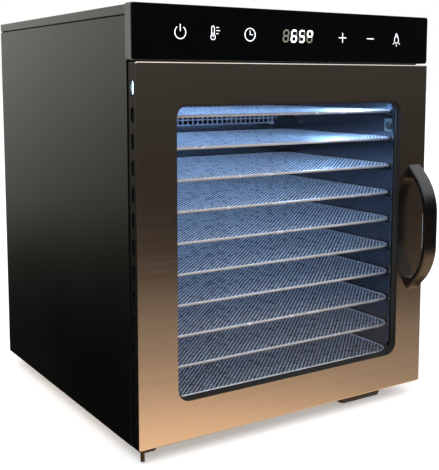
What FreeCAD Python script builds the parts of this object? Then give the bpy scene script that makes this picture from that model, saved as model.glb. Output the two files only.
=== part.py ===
"""Food dehydrator with ten wire trays: steel cabinet, hinged glass door, rear fan and heater.

Millimetres. +X is to the right of someone who faces the door, +Y runs back and +Z is up.
The pieces are drawn with x = 0 in the middle of the cabinet, y = 0 on the door's front face and
z = 0 on the cabinet's underside. At the end everything is moved so that the origin lies on the
table, under the middle of the outer box.
"""
import FreeCAD
import Part
import math
import os

# Cabinet
cabinet_width = 350.6
cabinet_height = 399.5
cabinet_front = 17.0
cabinet_back = 351.0
sheet = 1.0
clearance = 0.1
through = 1.0
flange_width = 9.0
flange_notch = 7.0
roof_flange = 8.0
roof_seam = 1.6
lap_height = 12.0
face_plate = 1.2
face_plate_bottom = 0.2
mouth_corner = 4.0
pan_wall = 12.0
pan_front = 2.5

# Feet
foot_height = 15.0
foot_top = (60.0, 30.0)
foot_bottom = (54.0, 24.0)
foot_offset = 108.7
foot_corner = 4.0
foot_front_margin = 1.0
left_foot_setback = 24.0
foot_back_margin = 3.0

# Air slots and cord gland in the back
vent_rows = 9
vent_row_pitch = 16.0
vent_column_pitch = 12.0
vent_field_radius = 80.0
vent_width = 4.0
vent_height = 11.0
gland_x = 120.0
gland_z = 40.0
gland_neck = 8.0
gland_flange = 11.0
gland_thickness = 5.0
gland_edge = 1.5
gland_bore = 3.75

# Door
door_height = 350.0
door_thickness = 13.0
door_skin = 1.2
door_corner = 2.0
door_edge = 1.2
window_margin = 37.4
window_hinge_margin = 40.7
window_corner = 13.0
gasket_lip = 2.0
gasket_lip_depth = 1.5
gasket_bite = 10.0
gasket_back = 6.0
glass_thickness = 4.0
inner_frame_recess = 0.2
slot_count = 14
slot_pitch = 23.4
slot_height = 14.0
slot_width = 6.0
slot_flat = 0.05
first_slot = 23.2
strike_x = (166.0, 172.0)
strike_height = 34.0
strike_inset = 0.8
strike_proud = 0.6
magnet_depth = 3.2
magnet_corner = 1.0
magnet_margin = 2.0

# Handle
handle_height = 137.0
handle_width = 18.0
handle_reach = 26.5
handle_bar = 5.5
handle_foot = 8.0
handle_inset = 14.6
handle_slope = 1.06
handle_shoulder = 60.0
handle_edge = 2.0
handle_pad = (14.0, 5.0)
handle_screw_inset = 8.0
handle_screw_length = 6.0

# Hinge
hinge_inset = 7.0
hinge_depth = 7.5
pin_radius = 2.0
pin_clearance = 0.05
pin_passage = 2.6
bush_radius = 4.0
bush_length = 12.0
bracket_thickness = 2.0
bracket_lead = 4.0
bracket_length = 17.0
bracket_tab = 22.0
bracket_tab_proud = 1.6
bracket_rise = 0.8
tongue_setback = 0.5
tongue_slot_margin = 0.2
lower_bracket_drop = 0.6
lower_pin_reach = 10.0
lower_plate_reach = (6.0, 34.0)
lower_plate_corner = 5.5
lower_pad_reach = (6.0, 30.0)
lower_pad_inset = 3.0
lower_pad_overlap = 0.5
upper_pin_reach = 2.0

# Control panel
panel_overhang = 2.0
panel_bottom = 351.4
panel_top = 400.5
panel_back = 15.0
panel_front = 4.5
panel_wall = 2.0
panel_edge = 2.0
panel_corner = 2.5
panel_glass = 1.5
panel_glass_inset = 0.4
panel_post_places = (-140.0, -50.0, 50.0, 140.0)
panel_post_radius = 4.0
panel_post_rise = 25.0
board_x = (-140.0, 150.0)
board_gap = 4.5
board_thickness = 1.6
board_margin = 5.0
display_place = (2.2, 376.0)
display_size = (44.0, 19.0)
display_gap = 0.2
display_corner = 1.0

# Drying chamber
chamber_half = 163.7
chamber_floor = 18.0
chamber_ceiling = 326.0
chamber_back = 236.3
rail_reach = 7.0
rail_edge = 1.2
rail_depth = 5.0
rail_gap = 0.3
rail_end_margin = 4.0
lamp_x = (86.0, 146.0)
lamp_y = (38.0, 56.0)
lamp_rim = 4.0
lamp_rim_depth = 2.0
lamp_box_height = 16.0
lamp_box_wall = 2.0
probe_place = (42.0, 284.0)
probe_plate = (17.0, 14.0, 1.0)
probe_radius = 4.5
probe_reach = 3.0
probe_edge = 1.2

# Trays
tray_count = 10
tray_pitch = 30.03
first_tray = 30.1
tray_half = 161.5
tray_front = 28.5
tray_back = 230.5
tray_rod = 1.5
tray_corner = 18.0
mesh_thickness = 0.8
mesh_gap = 0.05
crossbar_radius = 1.0
crossbar_offset = 54.0

# Air mouths and their guards
guard_half = 140.5
guard_pitch = 7.025
guard_wire = 1.4
guard_weld = 0.3
guard_gap = 0.7
guard_bars = 7
guard_bar_pitch = 6.1
guard_rise = 126.0
guard_post = (6.0, 4.0)
mouth_margin = 3.0

# Fan and heater
fan_radius = 85.0
fan_blades = 8
hub_radius = 22.0
hub_front = 262.0
hub_back = 284.0
blade_root = 4.0
blade_thickness = 1.6
blade_chord = 30.0
blade_corner = 6.0
blade_pitch = 35.0
shaft_radius = 3.0
shaft_clearance = 0.05
shaft_lead = 8.0
shaft_end_margin = 10.0
motor_bore_margin = 9.0
nut_radius = 6.5
nut_length = 5.0
motor_front = 294.0
motor_back = 340.0
motor_radius = 38.0
motor_edge = 3.0
motor_boss = 12.0
motor_boss_length = 8.0
bracket_reach = 128.0
arm_width = 18.0
arm_sheet = 2.0
arm_foot = 12.0
arm_angles = (45, 135, 225, 315)
boss_hole_margin = 0.5
heater_radius = 96.0
heater_rod = 3.25
heater_depth = 250.0
heater_gap = 14.0
heater_lead = 34.0
clip_size = 8.0
clip_length = 22.0
clip_foot = 4.0
clip_angles = (30, 150, 270)

# Screws
screw_radius = 1.6
screw_head = 3.6
screw_head_height = 2.0
sheet_screw_length = 6.0
rear_screw_heights = (24.0, 140.0, 256.0, 372.0)
baffle_screw_x = 146.7
baffle_screw_rise = 115.0

X_AXIS = FreeCAD.Vector(1, 0, 0)
Y_AXIS = FreeCAD.Vector(0, 1, 0)
Z_AXIS = FreeCAD.Vector(0, 0, 1)

half_width = cabinet_width / 2
inner_half = half_width - sheet
panel_half = half_width + panel_overhang
middle_height = (chamber_floor + chamber_ceiling) / 2
chamber_front = cabinet_front + face_plate + 2 * clearance
wall_top = cabinet_height - roof_flange - roof_seam
gland_back = cabinet_back + gland_thickness
window_x = (window_hinge_margin - half_width, half_width - window_margin)
window_z = (window_margin, door_height - window_margin)
hinge_x = hinge_inset - half_width
bracket_x = (hinge_x - bracket_lead, hinge_x - bracket_lead + bracket_length)
bracket_low = panel_bottom + panel_wall + bracket_rise
bracket_z = (bracket_low, bracket_low + bracket_thickness)
lower_plate_z = (-lower_bracket_drop - bracket_thickness, -lower_bracket_drop)
glass_y = (gasket_back, gasket_back + glass_thickness)
inner_frame_y = (glass_y[1] + clearance, door_thickness - inner_frame_recess)
handle_x = half_width - handle_inset
handle_z = (door_height / 2 - handle_height / 2, door_height / 2 + handle_height / 2)
handle_screw_heights = (handle_z[0] + handle_screw_inset, handle_z[1] - handle_screw_inset)
strike_z = (middle_height - strike_height / 2, middle_height + strike_height / 2)
guard_back = chamber_back - guard_gap
tray_heights = [first_tray + tray_pitch * number for number in range(tray_count)]


# ---------------------------------------------------------------- shape helpers

def block(x, y, z):
    """A box between pairs of limits, given in either order."""
    low = FreeCAD.Vector(min(x), min(y), min(z))
    return Part.makeBox(abs(x[1] - x[0]), abs(y[1] - y[0]), abs(z[1] - z[0]), low)


def grown(limits, amount):
    """A pair of limits moved outwards by an amount."""
    return (min(limits) - amount, max(limits) + amount)


def about(middle, size):
    """The pair of limits of a size around a middle."""
    return (middle - size / 2, middle + size / 2)


def round_edges(shape, radius, axis):
    """Fillets every straight edge that runs along an axis."""
    edges = []
    for edge in shape.Edges:
        if isinstance(edge.Curve, Part.Line) and abs(edge.Curve.Direction.dot(axis)) > 0.999:
            edges.append(edge)
    return shape.makeFillet(radius, edges)


def rounded_block(x, y, z, radius, axis):
    return round_edges(block(x, y, z), radius, axis)


def rod(radius, start, end):
    """A round bar between two points."""
    run = end - start
    return Part.makeCylinder(radius, run.Length, start, run)


def along_y(radius, x, z, y):
    """A round bar along Y between two depths."""
    return rod(radius, FreeCAD.Vector(x, min(y), z), FreeCAD.Vector(x, max(y), z))


def along_z(radius, x, y, z):
    """A round bar along Z between two heights."""
    return rod(radius, FreeCAD.Vector(x, y, min(z)), FreeCAD.Vector(x, y, max(z)))


def joined(shapes):
    """One solid from shapes that overlap or touch."""
    return shapes[0].multiFuse(shapes[1:]).removeSplitter()


def prism(points, run):
    """A flat outline swept straight along a vector."""
    closed = points + [points[0]]
    return Part.Face(Part.makePolygon(closed)).extrude(run)


def rounded_loop(x, y, z, radius):
    """A flat closed wire: a rectangle with round corners at height z."""
    corners = (
        (x[1] - radius, y[1] - radius, 0),
        (x[0] + radius, y[1] - radius, 90),
        (x[0] + radius, y[0] + radius, 180),
        (x[1] - radius, y[0] + radius, 270),
    )
    arcs = []
    for corner_x, corner_y, angle in corners:
        centre = FreeCAD.Vector(corner_x, corner_y, z)
        arcs.append(Part.makeCircle(radius, centre, Z_AXIS, angle, angle + 90))
    edges = []
    for arc, following in zip(arcs, arcs[1:] + arcs[:1]):
        edges.append(arc)
        edges.append(Part.makeLine(arc.Vertexes[-1].Point, following.Vertexes[0].Point))
    return Part.Wire(edges)


def mirror_x(shape):
    return shape.mirror(FreeCAD.Vector(0, 0, 0), X_AXIS)


def screw(x, z, seat, length, facing=1):
    """A pan-head screw along Y: its head stands on the seat, towards +Y when facing is 1."""
    shank = along_y(screw_radius, x, z, (seat - facing * length, seat))
    head = along_y(screw_head, x, z, (seat, seat + facing * screw_head_height))
    dome = [edge for edge in head.Edges if abs(edge.CenterOfMass.y - seat) > screw_head_height / 2]
    rim = [edge for edge in dome if isinstance(edge.Curve, Part.Circle)]
    return joined([head.makeFillet(screw_head_height * 0.6, rim), shank])


# ---------------------------------------------------------------- cabinet shell

rear_screw_places = []
for screw_x in (flange_width / 2 - inner_half, inner_half - flange_width / 2):
    for screw_z in rear_screw_heights:
        rear_screw_places.append((screw_x, screw_z))
baffle_screw_places = []
for screw_x in (-baffle_screw_x, baffle_screw_x):
    for screw_z in (middle_height - baffle_screw_rise, middle_height + baffle_screw_rise):
        baffle_screw_places.append((screw_x, screw_z))


def right_side_panel():
    """Side sheet with a front flange, a rear flange and a lap under the roof's edge."""
    inward = (inner_half - flange_width, inner_half)
    flange_z = (sheet + clearance, wall_top)
    front_y = cabinet_front + face_plate + clearance
    rear_flange_y = (cabinet_back - 2 * sheet, cabinet_back - sheet)
    lap_y = (front_y, cabinet_back - sheet)
    lap_z = (wall_top, cabinet_height - sheet - clearance)
    shapes = [
        block((inner_half, half_width), (cabinet_front, cabinet_back - sheet), (0, wall_top)),
        block(inward, (front_y, front_y + sheet), flange_z),
        block(inward, rear_flange_y, flange_z),
        block((inner_half - sheet, inner_half), lap_y, (wall_top - lap_height, wall_top)),
        block((inner_half - sheet, inner_half - clearance), lap_y, lap_z),
    ]
    panel = joined(shapes)
    for x, z in rear_screw_places:
        if x > 0:
            panel = panel.cut(along_y(screw_radius, x, z, grown(rear_flange_y, through)))
    return panel


def left_side_panel():
    return mirror_x(right_side_panel())


def roof_cover():
    """Top sheet with three turned-down edges."""
    side_y = (cabinet_front, cabinet_back)
    flange_z = (cabinet_height - roof_flange, cabinet_height)
    top = block((-half_width, half_width), side_y, (cabinet_height - sheet, cabinet_height))
    left = block((-half_width, -inner_half), side_y, flange_z)
    right = block((inner_half, half_width), side_y, flange_z)
    rear = block((-half_width, half_width), (cabinet_back - sheet, cabinet_back), flange_z)
    return joined([top, left, right, rear])


def vent_places():
    """Middles of the air slots, which fill a round field in front of the motor."""
    places = []
    for row in range(vent_rows):
        rise = (row - (vent_rows - 1) / 2) * vent_row_pitch
        columns = int(math.sqrt(vent_field_radius ** 2 - rise ** 2) // vent_column_pitch)
        for column in range(-columns, columns + 1):
            places.append((column * vent_column_pitch, middle_height + rise))
    return places


def rear_cover():
    """Flat rear panel with a field of air slots and a hole for the cord gland."""
    cover_y = (cabinet_back - sheet, cabinet_back)
    cut_y = grown(cover_y, through)
    cuts = []
    for x, z in vent_places():
        slot_radius = vent_width / 2 - clearance
        cuts.append(rounded_block(about(x, vent_width), cut_y, about(z, vent_height), slot_radius, Y_AXIS))
    for x, z in rear_screw_places:
        cuts.append(along_y(screw_radius, x, z, cut_y))
    cuts.append(along_y(gland_neck, gland_x, gland_z, cut_y))
    cover = block((-half_width, half_width), cover_y, (0, wall_top))
    return cover.cut(Part.makeCompound(cuts))


def cord_gland():
    """Flanged ring that leads the cord through the rear cover."""
    tail = cabinet_back - gland_thickness
    neck = along_y(gland_neck, gland_x, gland_z, (tail, cabinet_back))
    flange = along_y(gland_flange, gland_x, gland_z, (cabinet_back, gland_back))
    rim = [edge for edge in flange.Edges if abs(edge.CenterOfMass.y - gland_back) < 0.01]
    body = joined([neck, flange.makeFillet(gland_edge, rim)])
    return body.cut(along_y(gland_bore, gland_x, gland_z, (tail - 1, gland_back + 1)))


def base_pan():
    """Floor sheet of the cabinet with three turned-up walls, notched for the side panels' rear flanges."""
    reach = inner_half - clearance
    pan_y = (cabinet_front + pan_front, cabinet_back - 2 * sheet - clearance)
    wall_z = (0, pan_wall)
    floor = block((-reach, reach), pan_y, (0, sheet))
    left = block((-reach, sheet - reach), pan_y, wall_z)
    right = block((reach - sheet, reach), pan_y, wall_z)
    rear = block((-reach, reach), (pan_y[1] - sheet, pan_y[1]), wall_z)
    pan = joined([floor, left, right, rear])
    notch_y = (pan_y[1] - 3 * sheet, pan_y[1] + 1)
    notch_x = about(reach - flange_notch + 2, 2 * flange_notch)
    notch = block(notch_x, notch_y, (sheet, pan_wall + 1))
    return pan.cut(Part.makeCompound([notch, mirror_x(notch)]))


def front_frame():
    """The face plate behind the door and the control panel, open over the whole chamber."""
    reach = inner_half - clearance
    plate_y = (cabinet_front, cabinet_front + face_plate)
    plate = block((-reach, reach), plate_y, (face_plate_bottom, cabinet_height - sheet - clearance))
    mouth_x = (-chamber_half, chamber_half)
    mouth_z = (chamber_floor, chamber_ceiling)
    return plate.cut(rounded_block(mouth_x, grown(plate_y, through), mouth_z, mouth_corner, Y_AXIS))


def feet():
    """Four tapered rubber blocks; the left front one stands further back, clear of the hinge."""
    blocks = []
    front_y = cabinet_front + foot_front_margin + foot_top[1] / 2
    back_y = cabinet_back - foot_back_margin - foot_top[1] / 2
    places = (
        (-foot_offset, front_y + left_foot_setback),
        (foot_offset, front_y),
        (-foot_offset, back_y),
        (foot_offset, back_y),
    )
    for x, y in places:
        outlines = []
        for (length, width), z in ((foot_top, 0.0), (foot_bottom, -foot_height)):
            outlines.append(rounded_loop(about(x, length), about(y, width), z, foot_corner))
        blocks.append(Part.makeLoft(outlines, True))
    return Part.makeCompound(blocks)


def cabinet_screws():
    screws = [screw(x, z, cabinet_back, sheet_screw_length) for x, z in rear_screw_places]
    screws += [screw(x, z, chamber_back, sheet_screw_length, facing=-1) for x, z in baffle_screw_places]
    return Part.makeCompound(screws)


# ---------------------------------------------------------------- drying chamber

def inner_right_wall():
    """Side liner with one pressed ledge under each tray."""
    wall_y = (chamber_front, chamber_back - clearance)
    wall_z = grown((chamber_floor, chamber_ceiling), sheet)
    shapes = [block((chamber_half, chamber_half + sheet), wall_y, wall_z)]
    rail_start = wall_y[0] + rail_end_margin
    run = Y_AXIS * (wall_y[1] - rail_end_margin - rail_start)
    nose = chamber_half - rail_reach
    for height in tray_heights:
        top = height - tray_rod - rail_gap
        outline = [
            FreeCAD.Vector(chamber_half, rail_start, top),
            FreeCAD.Vector(nose, rail_start, top),
            FreeCAD.Vector(nose, rail_start, top - rail_edge),
            FreeCAD.Vector(chamber_half, rail_start, top - rail_depth),
        ]
        shapes.append(prism(outline, run))
    return joined(shapes)


def inner_left_wall():
    return mirror_x(inner_right_wall())


def inner_ceiling():
    """Ceiling liner with the opening for the lamp."""
    reach = chamber_half - clearance
    plate_z = (chamber_ceiling, chamber_ceiling + sheet)
    plate = block((-reach, reach), (chamber_front, chamber_back - clearance), plate_z)
    return plate.cut(block(lamp_x, lamp_y, grown(plate_z, through)))


def inner_floor():
    reach = chamber_half - clearance
    plate_z = (chamber_floor - sheet, chamber_floor)
    return block((-reach, reach), (chamber_front, chamber_back - clearance), plate_z)


def lamp_housing():
    """Box over the lamp's opening, open below."""
    base = chamber_ceiling + sheet
    outer_x = grown(lamp_x, lamp_rim)
    outer_y = grown(lamp_y, lamp_rim)
    outer = rounded_block(outer_x, outer_y, (base, base + lamp_box_height), lamp_rim, Z_AXIS)
    return outer.cut(block(lamp_x, lamp_y, (base - 1, base + lamp_box_height - lamp_box_wall)))


def lamp_lens():
    """Clear cover of the chamber lamp, with a rim under the ceiling."""
    plug_z = (chamber_ceiling, chamber_ceiling + sheet + lamp_rim_depth)
    plug = block(grown(lamp_x, -clearance), grown(lamp_y, -clearance), plug_z)
    rim_z = (chamber_ceiling - lamp_rim_depth, chamber_ceiling)
    rim = rounded_block(grown(lamp_x, lamp_rim), grown(lamp_y, lamp_rim), rim_z, lamp_rim, Z_AXIS)
    return joined([rim, plug])


def temperature_probe():
    """Round sensor on a square plate on the right wall."""
    probe_y, probe_z = probe_place
    plate_length, plate_height, plate_sheet = probe_plate
    plate_x = (chamber_half - plate_sheet, chamber_half)
    plate = rounded_block(
        plate_x, about(probe_y, plate_length), about(probe_z, plate_height), plate_sheet, X_AXIS
    )
    start = FreeCAD.Vector(plate_x[0], probe_y, probe_z)
    cap = rod(probe_radius, start, start - X_AXIS * probe_reach)
    tip = plate_x[0] - probe_reach
    rim = [edge for edge in cap.Edges if abs(edge.CenterOfMass.x - tip) < 0.01]
    return joined([plate, cap.makeFillet(probe_edge, rim)])


def air_mouth_z(side):
    """Height range of the upper (side 1) or lower (side -1) air mouth in the chamber's back wall."""
    middle = middle_height + side * guard_rise
    return grown((middle, middle), (guard_bars - 1) * guard_bar_pitch / 2)


def fan_baffle():
    """Sheet between the chamber and the fan space, with an air mouth near the top and the bottom."""
    reach = chamber_half + sheet
    plate_y = (chamber_back, chamber_back + sheet)
    plate = block((-reach, reach), plate_y, grown((chamber_floor, chamber_ceiling), sheet))
    cuts = []
    for side in (-1, 1):
        mouth_x = grown((-guard_half, guard_half), -mouth_margin)
        mouth_z = grown(air_mouth_z(side), -guard_wire)
        cuts.append(rounded_block(mouth_x, grown(plate_y, through), mouth_z, mouth_margin, Y_AXIS))
    for x, z in baffle_screw_places:
        cuts.append(along_y(screw_radius, x, z, grown(plate_y, through)))
    return plate.cut(Part.makeCompound(cuts))


def guard_grid(low, high):
    """Grid of welded square wires on four corner posts between two heights."""
    bar_y = (guard_back - guard_wire, guard_back)
    upright_y = (bar_y[0] - guard_wire + guard_weld, bar_y[0] + guard_weld)
    upright_z = grown((low, high), guard_wire / 2)
    bar_x = grown((-guard_half, guard_half), guard_wire / 2)
    wires = []
    for number in range(round(2 * guard_half / guard_pitch) + 1):
        x = number * guard_pitch - guard_half
        wires.append(block(about(x, guard_wire), upright_y, upright_z))
    for number in range(guard_bars):
        wires.append(block(bar_x, bar_y, about(low + number * guard_bar_pitch, guard_wire)))
    for x in (-guard_half, guard_half):
        for z in (low, high):
            wires.append(block(about(x, guard_post[0]), (bar_y[0], chamber_back), about(z, guard_post[1])))
    return joined(wires)


def fan_guard():
    """Two wire grids, one in front of each air mouth."""
    return Part.makeCompound([guard_grid(*air_mouth_z(-1)), guard_grid(*air_mouth_z(1))])


# ---------------------------------------------------------------- fan and heater

def heater_element():
    """Ring of sheathed heating rod with two straight leads."""
    centre = FreeCAD.Vector(0, heater_depth, middle_height)
    angle = math.degrees(heater_gap / heater_radius)
    ring = Part.makeTorus(heater_radius, heater_rod, centre, Y_AXIS, -180, 180, 360 - angle)
    ring.rotate(centre, Y_AXIS, 90 - angle / 2)
    leads = []
    for face in ring.Faces:
        if isinstance(face.Surface, Part.Plane):
            end = face.CenterOfMass
            leads.append(Part.makeSphere(heater_rod, end))
            leads.append(rod(heater_rod, end, end + Y_AXIS * heater_lead))
    return joined([ring] + leads)


def heater_clips():
    """Three posts that hold the heating rod on the baffle."""
    centre = FreeCAD.Vector(0, 0, middle_height)
    inner = heater_radius + heater_rod + clearance
    outer = inner + clip_length
    clip_z = about(middle_height, clip_size)
    clips = []
    for angle in clip_angles:
        post = block((inner, outer), about(heater_depth, clip_size), clip_z)
        foot_y = (chamber_back + sheet, heater_depth + clip_size / 2)
        foot = block((outer - clip_foot, outer), foot_y, clip_z)
        clip = joined([post, foot])
        clip.rotate(centre, Y_AXIS, angle)
        clips.append(clip)
    return Part.makeCompound(clips)


def fan_impeller():
    """Axial wheel: a hub and eight pitched blades."""
    depth = (hub_front + hub_back) / 2
    centre = FreeCAD.Vector(0, depth, middle_height)
    shapes = [along_y(hub_radius, 0, middle_height, (hub_front, hub_back))]
    for number in range(fan_blades):
        blade_x = (hub_radius - blade_root, fan_radius)
        blade_y = about(depth, blade_thickness)
        blade = rounded_block(blade_x, blade_y, about(middle_height, blade_chord), blade_corner, Y_AXIS)
        blade.rotate(centre, X_AXIS, blade_pitch)
        blade.rotate(centre, Y_AXIS, number * 360 / fan_blades)
        shapes.append(blade)
    return joined(shapes).cut(along_y(shaft_radius, 0, middle_height, grown((hub_front, hub_back), through)))


def motor_shaft():
    return along_y(shaft_radius, 0, middle_height, (hub_front - shaft_lead, motor_back - shaft_end_margin))


def impeller_nut():
    """Hexagon nut that holds the wheel on the shaft."""
    corners = []
    for number in range(6):
        angle = math.radians(60 * number)
        x = nut_radius * math.cos(angle)
        z = middle_height + nut_radius * math.sin(angle)
        corners.append(FreeCAD.Vector(x, hub_front - nut_length, z))
    nut = prism(corners, Y_AXIS * nut_length)
    return nut.cut(along_y(shaft_radius, 0, middle_height, (hub_front - nut_length - 1, hub_front + 1)))


def fan_motor():
    """Round motor can with a bearing boss on its front."""
    can = along_y(motor_radius, 0, middle_height, (motor_front, motor_back))
    rims = [edge for edge in can.Edges if isinstance(edge.Curve, Part.Circle)]
    can = can.makeFillet(motor_edge, rims)
    boss_y = (motor_front - motor_boss_length, motor_front + motor_edge)
    boss = along_y(motor_boss, 0, middle_height, boss_y)
    bore_y = (boss_y[0] - through, motor_back - motor_bore_margin)
    bore = along_y(shaft_radius + shaft_clearance, 0, middle_height, bore_y)
    return joined([can, boss]).cut(bore)


def motor_bracket():
    """Cross of sheet metal on four legs that carries the motor behind the wheel."""
    centre = FreeCAD.Vector(0, 0, middle_height)
    plate_y = (motor_front - arm_sheet, motor_front)
    baffle_y = chamber_back + sheet
    arm_z = about(middle_height, arm_width)
    leg_x = (bracket_reach - arm_sheet, bracket_reach)
    foot_x = (leg_x[0], bracket_reach + arm_foot)
    shapes = []
    for angle in arm_angles:
        arm = block((0, bracket_reach), plate_y, arm_z)
        leg = block(leg_x, (baffle_y, motor_front), arm_z)
        foot = block(foot_x, (baffle_y, baffle_y + arm_sheet), arm_z)
        for shape in (arm, leg, foot):
            shape.rotate(centre, Y_AXIS, angle)
            shapes.append(shape)
    shapes.append(along_y(motor_radius - motor_edge - 1, 0, middle_height, plate_y))
    cross = joined(shapes)
    boss_hole = motor_boss + boss_hole_margin
    return cross.cut(along_y(boss_hole, 0, middle_height, grown(plate_y, through)))


# ---------------------------------------------------------------- control panel

def control_housing():
    """Shallow black tray behind the control glass, with posts to the face plate."""
    outer_x = (-panel_half, panel_half)
    outer_z = (panel_bottom, panel_top)
    outer = rounded_block(outer_x, (panel_front, panel_back), outer_z, panel_edge, Y_AXIS)
    hollow_y = (panel_front - 1, panel_back - panel_wall)
    hollow = block(grown(outer_x, -panel_wall), hollow_y, grown(outer_z, -panel_wall))
    shapes = [outer.cut(hollow)]
    for x in panel_post_places:
        post_y = (panel_back - 1, cabinet_front)
        shapes.append(along_y(panel_post_radius, x, panel_bottom + panel_post_rise, post_y))
    slot_y = (panel_back - panel_wall - 2, panel_back + 1)
    slot_z = grown(bracket_z, tongue_slot_margin)
    tongue_slot = block(grown(bracket_x, tongue_slot_margin), slot_y, slot_z)
    pin_hole_z = (panel_bottom - 1, panel_bottom + panel_wall + 2)
    pin_hole = along_z(pin_passage, hinge_x, hinge_depth, pin_hole_z)
    return joined(shapes).cut(Part.makeCompound([tongue_slot, pin_hole]))


def control_glass():
    """Touch glass over the whole front of the panel."""
    glass_x = grown((-panel_half, panel_half), -panel_glass_inset)
    glass_z = grown((panel_bottom, panel_top), -panel_glass_inset)
    return rounded_block(glass_x, (panel_front - panel_glass, panel_front), glass_z, panel_corner, Y_AXIS)


def control_board():
    """Circuit board with the four-digit display that stands up to the glass."""
    board_front = panel_front + board_gap
    board_z = grown((panel_bottom, panel_top), -panel_wall - board_margin)
    board = block(board_x, (board_front, board_front + board_thickness), board_z)
    display_x = about(display_place[0], display_size[0])
    display_z = about(display_place[1], display_size[1])
    display_y = (panel_front + display_gap, board_front)
    display = rounded_block(display_x, display_y, display_z, display_corner, Y_AXIS)
    return joined([board, display])


# ---------------------------------------------------------------- hinge

def upper_hinge_bracket():
    """Angle on the face plate: its tongue reaches into the panel and holds the upper pin."""
    tongue = block(bracket_x, (panel_front + tongue_setback, cabinet_front), bracket_z)
    tab_y = (cabinet_front - bracket_tab_proud, cabinet_front)
    tab = block(bracket_x, tab_y, (bracket_z[0], bracket_z[1] + bracket_tab))
    return joined([tongue, tab]).cut(along_z(pin_radius, hinge_x, hinge_depth, grown(bracket_z, through)))


def lower_hinge_bracket():
    """Plate under the door's corner, stepped up to the base pan."""
    plate_y = (hinge_depth - lower_plate_reach[0], cabinet_front + lower_plate_reach[1])
    pad_y = (cabinet_front + lower_pad_reach[0], cabinet_front + lower_pad_reach[1])
    pad_z = (lower_plate_z[1] - lower_pad_overlap, 0)
    plate = rounded_block(bracket_x, plate_y, lower_plate_z, lower_plate_corner, Z_AXIS)
    pad = block(grown(bracket_x, -lower_pad_inset), pad_y, pad_z)
    return joined([plate, pad]).cut(along_z(pin_radius, hinge_x, hinge_depth, grown(lower_plate_z, through)))


def hinge_pins():
    upper_z = (door_height - bush_length + 1, bracket_z[1] + upper_pin_reach)
    lower_z = (lower_plate_z[0] - lower_pin_reach, bush_length - 1)
    upper = along_z(pin_radius, hinge_x, hinge_depth, upper_z)
    lower = along_z(pin_radius, hinge_x, hinge_depth, lower_z)
    return Part.makeCompound([upper, lower])


def hinge_bushes():
    """Plastic sleeves in the door that turn on the pins."""
    bushes = []
    for z in ((door_skin, bush_length), (door_height - bush_length, door_height - door_skin)):
        bush = along_z(bush_radius, hinge_x, hinge_depth, z)
        bore = along_z(pin_radius + pin_clearance, hinge_x, hinge_depth, grown(z, through))
        bushes.append(bush.cut(bore))
    return Part.makeCompound(bushes)


# ---------------------------------------------------------------- door

def window(y, growth, radius):
    """A block with the window's outline, grown by a margin."""
    return rounded_block(grown(window_x, growth), y, grown(window_z, growth), radius, Y_AXIS)


def hinge_edge_slots():
    """Cutters for the row of slots in the door's hinge edge."""
    slot_x = (-half_width - 1, door_skin - half_width + clearance)
    slot_y = about(door_thickness / 2, slot_width)
    slots = []
    for number in range(slot_count):
        slot_z = about(first_slot + number * slot_pitch, slot_height)
        slots.append(rounded_block(slot_x, slot_y, slot_z, slot_width / 2 - slot_flat, X_AXIS))
    return slots


def door_frame():
    """Folded stainless door skin: face with the window, and four turned edges."""
    face_x = (-half_width, half_width)
    outer = rounded_block(face_x, (0, door_thickness), (0, door_height), door_corner, Y_AXIS)
    front_edges = [edge for edge in outer.Edges if max(vertex.Point.y for vertex in edge.Vertexes) < 0.01]
    outer = outer.makeFillet(door_edge, front_edges)
    hollow_z = (door_skin, door_height - door_skin)
    hollow = block(grown(face_x, -door_skin), (door_skin, door_thickness + 1), hollow_z)
    cuts = [hollow, window((-1, door_skin + 1), 0, window_corner)]
    cuts += hinge_edge_slots()
    for z in ((-1, 2), (door_height - 2, door_height + 1)):
        cuts.append(along_z(pin_passage, hinge_x, hinge_depth, z))
    for z in handle_screw_heights:
        cuts.append(along_y(screw_radius, handle_x, z, (-1, 2)))
    return outer.cut(Part.makeCompound(cuts))


def glass_gasket():
    """Rubber ring between the skin and the glass, with a thin lip that shows inside the window."""
    gasket_y = (door_skin, gasket_back)
    ring = window(gasket_y, gasket_bite, window_corner + gasket_bite)
    lip_front = gasket_back - gasket_lip_depth
    throat = window((0, lip_front), 3 * clearance, window_corner)
    mouth = window((lip_front - 1, gasket_back + 1), -gasket_lip, window_corner - gasket_lip)
    return ring.cut(Part.makeCompound([throat.fuse(mouth)]))


def door_glass():
    return window(glass_y, gasket_bite, window_corner + gasket_bite)


def door_inner_frame():
    """Black frame that closes the back of the door and clamps the glass."""
    reach = grown((-half_width, half_width), -door_skin - clearance)
    plate = block(reach, inner_frame_y, grown((0, door_height), -door_skin - clearance))
    cuts = [window(grown(inner_frame_y, through), 0, window_corner)]
    for z in ((0, bush_length), (door_height - bush_length, door_height)):
        cuts.append(along_z(bush_radius, hinge_x, hinge_depth, z))
    cuts.append(block(strike_x, (inner_frame_y[1] - strike_inset, inner_frame_y[1] + 1), strike_z))
    return plate.cut(Part.makeCompound(cuts))


def strike_plate():
    """Steel strip in the back of the door that the magnet holds."""
    return block(strike_x, (inner_frame_y[1] - strike_inset, inner_frame_y[1] + strike_proud), strike_z)


def magnet_catch():
    """Magnet block on the right stile of the face plate."""
    magnet_y = (cabinet_front - magnet_depth, cabinet_front)
    return rounded_block(strike_x, magnet_y, grown(strike_z, -magnet_margin), magnet_corner, Y_AXIS)


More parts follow.
